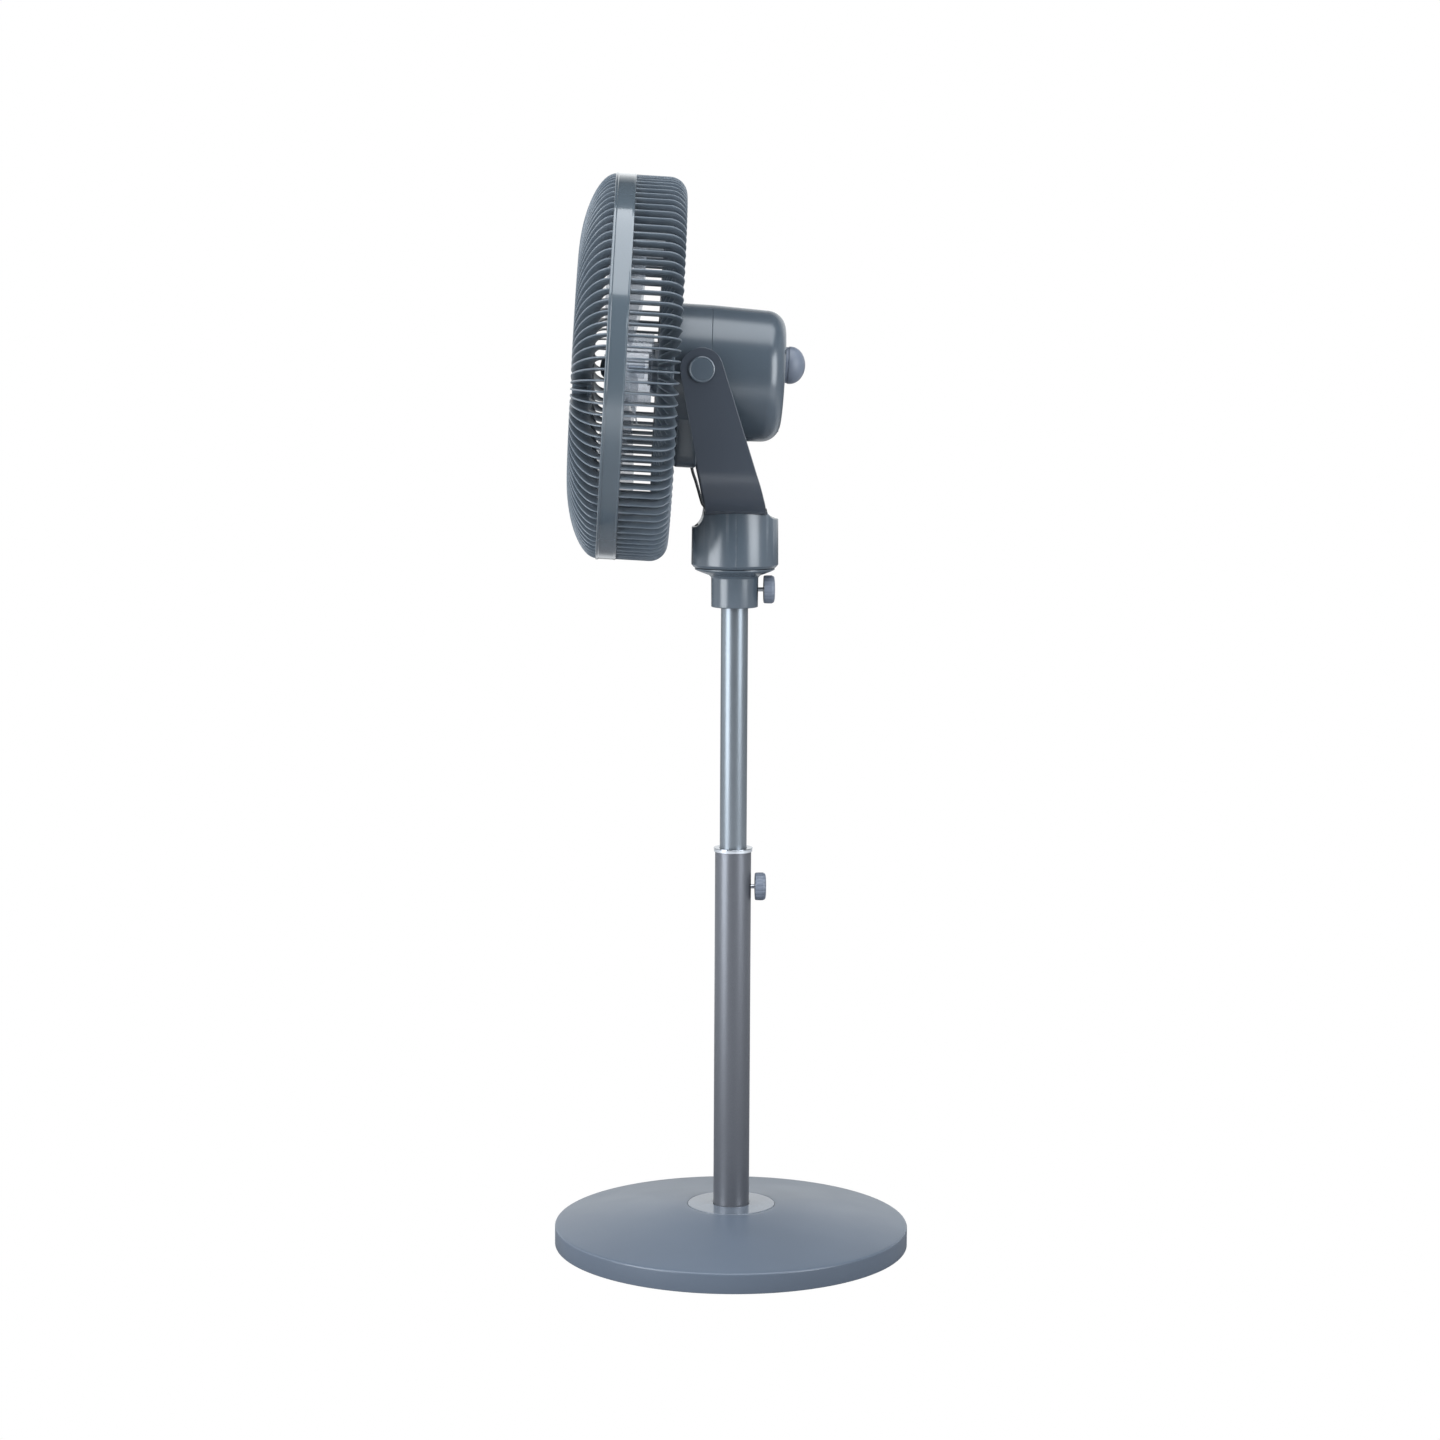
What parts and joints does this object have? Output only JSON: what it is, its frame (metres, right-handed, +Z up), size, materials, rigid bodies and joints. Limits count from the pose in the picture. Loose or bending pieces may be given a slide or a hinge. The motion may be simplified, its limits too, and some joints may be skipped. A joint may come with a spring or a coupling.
{
  "type": "pedestal fan",
  "caption": "Pedestal fan with a ribbed cage guard, clear blades, tilting motor head in a strap yoke, swivelling cup, telescopic pole and round weighted base.",
  "frame": {"origin": "centre of the round base on the floor", "axes": "+Z up along the pole, -Y the way the fan blows at swing zero, +X to the fan's right-hand side seen from behind it"},
  "size_m": [0.4328, 0.409, 1.2293],
  "materials": {
    "base_plastic": "satin moulded, fine grain",
    "inset_plastic": "polished",
    "cast_ballast": "as cast",
    "black_plastic": "fine moulded grain",
    "rubber": "matte",
    "zinc_steel": "bright zinc",
    "lower_tube_paint": "satin powder coat, dark grey",
    "white_acetal": "smooth moulded",
    "chrome": "bright chrome",
    "brass": "machined",
    "lead_rubber": "satin",
    "knob_plastic": "satin moulded",
    "upper_tube_paint": "satin metallic grey",
    "housing_plastic": "satin blue-grey",
    "strap_paint": "matte powder coat",
    "cast_aluminium": "die cast",
    "core_steel": "laminated",
    "copper": "enamelled copper wire",
    "board_green": "solder resist",
    "guard_plastic": "satin blue-grey",
    "band_plastic": "glossy",
    "clear_blade": "clear, slightly blue"
  },
  "bodies": {
    "stand": {"base_cover": "base_plastic", "base_inset_disc": "inset_plastic", "ballast_plate": "cast_ballast", "base_bottom_plate": "black_plastic", "rubber_feet": "rubber", "base_screws": "zinc_steel", "power_inlet": "black_plastic", "pole_foot": "zinc_steel", "pole_bolts": "zinc_steel", "outer_tube": "lower_tube_paint", "tube_bushing": "white_acetal", "chrome_ring": "chrome", "height_lock_nut": "brass", "pole_lead": "lead_rubber"},
    "height_screw": {"height_lock_screw": "zinc_steel"},
    "height_knob": {"height_lock_knob": "knob_plastic"},
    "mast": {"inner_tube": "upper_tube_paint", "tube_stop": "white_acetal", "neck_socket": "housing_plastic", "neck_insert": "brass", "swivel_washer": "black_plastic", "swivel_gear": "white_acetal", "swivel_nut": "zinc_steel"},
    "neck_screw": {"neck_lock_screw": "zinc_steel"},
    "neck_knob": {"neck_lock_knob": "knob_plastic"},
    "yoke": {"cup_front_half": "housing_plastic", "cup_rear_half": "housing_plastic", "cup_screws": "zinc_steel", "yoke_strap": "strap_paint", "yoke_screws": "zinc_steel", "swing_motor": "zinc_steel", "pivot_caps": "housing_plastic", "head_lead": "lead_rubber"},
    "pinion": {"swing_pinion": "white_acetal"},
    "head": {"pivot_bolts": "zinc_steel", "pivot_washers": "rubber", "motor_front_housing": "housing_plastic", "motor_rear_cover": "housing_plastic", "cover_screws": "zinc_steel", "motor_front_plate": "cast_aluminium", "motor_rear_plate": "cast_aluminium", "stator_core": "core_steel", "windings": "copper", "front_bearing": "zinc_steel", "rear_bearing": "zinc_steel", "motor_tie_screws": "zinc_steel", "motor_mount_screws": "zinc_steel", "control_board": "board_green", "speed_switch": "black_plastic", "rear_guard": "guard_plastic", "guard_nut": "guard_plastic", "guard_band": "band_plastic", "front_guard": "guard_plastic", "guard_centre_disc": "housing_plastic"},
    "selector": {"speed_knob": "knob_plastic"},
    "rotor": {"motor_shaft": "zinc_steel", "rotor_core": "core_steel", "fan_blades": "clear_blade", "drive_pin": "zinc_steel", "blade_nut": "guard_plastic"}
  },
  "joints": [
    {"name": "height", "type": "slide", "parent": "stand", "child": "mast", "axis": [0, 0, 1], "range_m": [-0.26, 0.03]},
    {"name": "height_screw_travel", "type": "slide", "parent": "stand", "child": "height_screw", "axis": [0, 1, 0], "range_m": [0, 0.0016]},
    {"name": "height_knob_turn", "type": "hinge", "parent": "height_screw", "child": "height_knob", "pos_m": [0, 0.03, 0.421], "axis": [0, 1, 0], "range_deg": [0, 540]},
    {"name": "neck_screw_travel", "type": "slide", "parent": "mast", "child": "neck_screw", "axis": [0, 1, 0], "range_m": [0, 0.0016]},
    {"name": "neck_knob_turn", "type": "hinge", "parent": "neck_screw", "child": "neck_knob", "pos_m": [0, 0.038, 0.763], "axis": [0, 1, 0], "range_deg": [0, 540]},
    {"name": "swing", "type": "hinge", "parent": "mast", "child": "yoke", "pos_m": [0, 0, 0.8], "axis": [0, 0, 1], "range_deg": [-40, 40]},
    {"name": "pinion_turn", "type": "hinge", "parent": "yoke", "child": "pinion", "pos_m": [0, 0.024, 0.8], "axis": [0, 0, 1], "range_deg": [-125, 125]},
    {"name": "tilt", "type": "hinge", "parent": "yoke", "child": "head", "pos_m": [0, -0.0405, 1.012], "axis": [-1, 0, 0], "range_deg": [-6, 75]},
    {"name": "selector_turn", "type": "hinge", "parent": "head", "child": "selector", "pos_m": [0, -0.03999, 1.02149], "axis": [0, -0.9985, 0.0541], "range_deg": [0, 135]},
    {"name": "blade_spin", "type": "hinge", "parent": "head", "child": "rotor", "pos_m": [0, -0.04074, 1.00751], "axis": [0, -0.9985, 0.0541], "continuous": true}
  ],
  "couplings": [
    {"joint": "pinion_turn", "follows": "swing", "ratio": 3},
    {"joint": "height_screw_travel", "follows": "height_knob_turn", "m_per_rad": 0.00015915},
    {"joint": "neck_screw_travel", "follows": "neck_knob_turn", "m_per_rad": 0.00015915}
  ]
}
